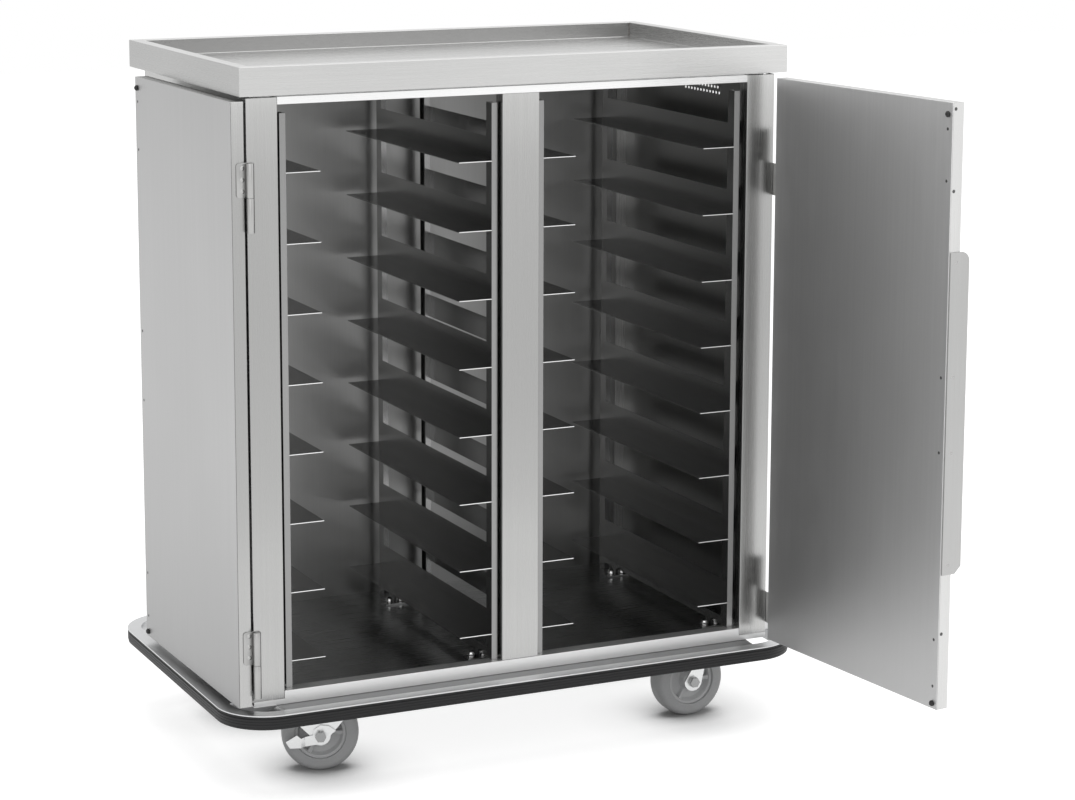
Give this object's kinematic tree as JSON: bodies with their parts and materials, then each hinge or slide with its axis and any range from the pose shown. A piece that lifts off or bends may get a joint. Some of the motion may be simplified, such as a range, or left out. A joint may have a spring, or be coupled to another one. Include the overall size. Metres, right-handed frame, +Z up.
{
  "type": "enclosed meal tray cart",
  "caption": "Enclosed two-compartment cart with tray slides, hinged doors, a recessed top, a wrap-round bumper and swivel and rigid casters.",
  "frame": {"origin": "on the floor, under the middle of the bounding box of the whole cart as built", "axes": "+Z up, -Y towards the front with the doors, +X towards the side with the rigid casters"},
  "size_m": [1.2472, 1.266, 1.39],
  "materials": {
    "steel_panel": "brushed",
    "steel_rack": "mill",
    "aluminium": "mill",
    "base_plate": "satin",
    "vinyl_black": "satin",
    "rubber_black": "matte",
    "zinc": "zinc plated",
    "tyre_grey": "satin",
    "core_grey": "matte"
  },
  "bodies": {
    "cabinet": {"floor_pan": "steel_panel", "side_panel_left": "steel_panel", "side_panel_right": "steel_panel", "back_panel": "steel_panel", "top_deck": "steel_panel", "header_rail": "steel_panel", "sill_rail": "steel_panel", "stile_left": "steel_panel", "stile_right": "steel_panel", "mullion": "steel_panel", "rack_left_outer": "steel_rack", "rack_left_inner": "steel_rack", "rack_right_inner": "steel_rack", "rack_right_outer": "steel_rack", "bumper_channel": "aluminium", "bumper_strip": "vinyl_black", "base_plate_front": "base_plate", "base_plate_back": "base_plate", "base_plate_left": "base_plate", "base_plate_right": "base_plate", "frame_hinge_left_top": "zinc", "frame_hinge_left_low": "zinc", "frame_hinge_right_top": "zinc", "frame_hinge_right_low": "zinc", "caster_front_left_plate": "zinc", "caster_rear_left_plate": "zinc", "caster_front_right_fork": "zinc", "caster_front_right_axle": "zinc", "caster_rear_right_fork": "zinc", "caster_rear_right_axle": "zinc"},
    "door_left": {"door_left_pan": "steel_panel", "door_left_panel": "steel_panel", "door_left_handle": "steel_panel", "door_left_stop_top": "rubber_black", "door_left_stop_low": "rubber_black", "door_left_hinge_top": "zinc", "door_left_hinge_low": "zinc"},
    "door_right": {"door_right_pan": "steel_panel", "door_right_panel": "steel_panel", "door_right_handle": "steel_panel", "door_right_stop_top": "rubber_black", "door_right_stop_low": "rubber_black", "door_right_hinge_top": "zinc", "door_right_hinge_low": "zinc"},
    "swivel_front_left": {"caster_front_left_fork": "zinc", "caster_front_left_axle": "zinc"},
    "swivel_rear_left": {"caster_rear_left_fork": "zinc", "caster_rear_left_axle": "zinc"},
    "wheel_front_left": {"caster_front_left_core": "core_grey", "caster_front_left_tyre": "tyre_grey"},
    "wheel_rear_left": {"caster_rear_left_core": "core_grey", "caster_rear_left_tyre": "tyre_grey"},
    "wheel_front_right": {"caster_front_right_core": "core_grey", "caster_front_right_tyre": "tyre_grey"},
    "wheel_rear_right": {"caster_rear_right_core": "core_grey", "caster_rear_right_tyre": "tyre_grey"},
    "brake_front_left": {"caster_front_left_brake": "zinc"},
    "brake_rear_left": {"caster_rear_left_brake": "zinc"}
  },
  "joints": [
    {"name": "door_left_hinge", "type": "hinge", "parent": "cabinet", "child": "door_left", "pos_m": [-0.56911, -0.08846, 0], "axis": [0, 0, 1], "range_deg": [0, 269]},
    {"name": "door_right_hinge", "type": "hinge", "parent": "cabinet", "child": "door_right", "pos_m": [0.55289, -0.08846, 0], "axis": [0, 0, 1], "range_deg": [-96.2, 172.8]},
    {"name": "swivel_front_left_turn", "type": "hinge", "parent": "cabinet", "child": "swivel_front_left", "pos_m": [-0.43011, 0.07554, 0.12], "axis": [0, 0, 1], "continuous": true},
    {"name": "swivel_rear_left_turn", "type": "hinge", "parent": "cabinet", "child": "swivel_rear_left", "pos_m": [-0.43011, 0.44754, 0.12], "axis": [0, 0, 1], "continuous": true},
    {"name": "wheel_front_left_spin", "type": "hinge", "parent": "swivel_front_left", "child": "wheel_front_left", "pos_m": [-0.3885, 0.06121, 0.07555], "axis": [0.3256, 0.9455, 0], "continuous": true},
    {"name": "wheel_rear_left_spin", "type": "hinge", "parent": "swivel_rear_left", "child": "wheel_rear_left", "pos_m": [-0.3885, 0.43321, 0.07555], "axis": [0.3256, 0.9455, 0], "continuous": true},
    {"name": "wheel_front_right_spin", "type": "hinge", "parent": "cabinet", "child": "wheel_front_right", "pos_m": [0.42289, 0.06154, 0.07555], "axis": [0, 1, 0], "continuous": true},
    {"name": "wheel_rear_right_spin", "type": "hinge", "parent": "cabinet", "child": "wheel_rear_right", "pos_m": [0.42289, 0.46154, 0.07555], "axis": [0, 1, 0], "continuous": true},
    {"name": "brake_front_left_press", "type": "hinge", "parent": "swivel_front_left", "child": "brake_front_left", "pos_m": [-0.3885, 0.06121, 0.07555], "axis": [-0.3256, -0.9455, 0], "range_deg": [0, 20]},
    {"name": "brake_rear_left_press", "type": "hinge", "parent": "swivel_rear_left", "child": "brake_rear_left", "pos_m": [-0.3885, 0.43321, 0.07555], "axis": [-0.3256, -0.9455, 0], "range_deg": [0, 20]}
  ]
}
